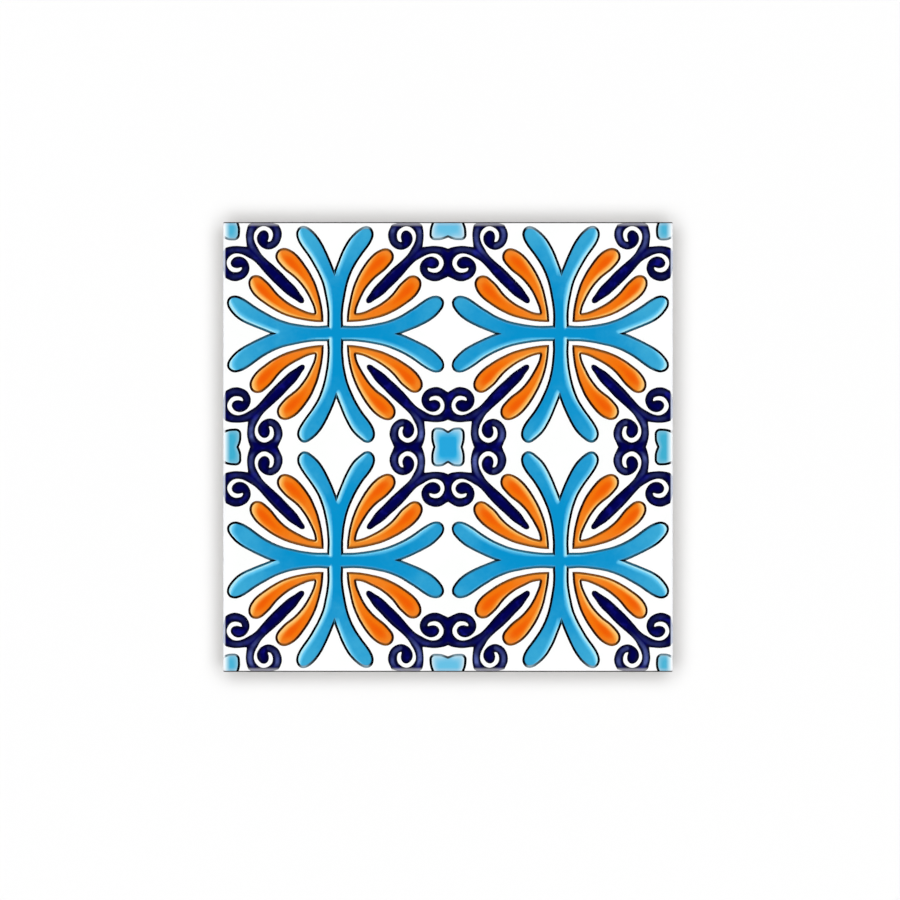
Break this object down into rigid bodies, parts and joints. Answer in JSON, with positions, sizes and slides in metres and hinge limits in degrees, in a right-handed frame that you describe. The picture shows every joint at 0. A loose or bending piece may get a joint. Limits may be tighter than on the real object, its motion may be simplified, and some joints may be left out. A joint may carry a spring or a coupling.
{
  "type": "haft rang tile",
  "caption": "Square glazed ceramic wall tile: flat back for adhesive, square sides, and a face painted with outlined, slightly raised glaze fields.",
  "frame": {"origin": "centre of the flat back, on the level floor or adhesive bed", "axes": "+Z through the thickness, out of the painted face; +X and +Y along the sides, +Y towards the top of the picture"},
  "size_m": [0.2, 0.2, 0.01],
  "materials": {
    "white_glaze": "gloss",
    "turquoise_glaze": "gloss",
    "orange_glaze": "gloss",
    "cobalt_glaze": "gloss",
    "black_line": "satin",
    "biscuit": "matte"
  },
  "bodies": {
    "root": {"tile": "white_glaze"}
  },
  "joints": []
}
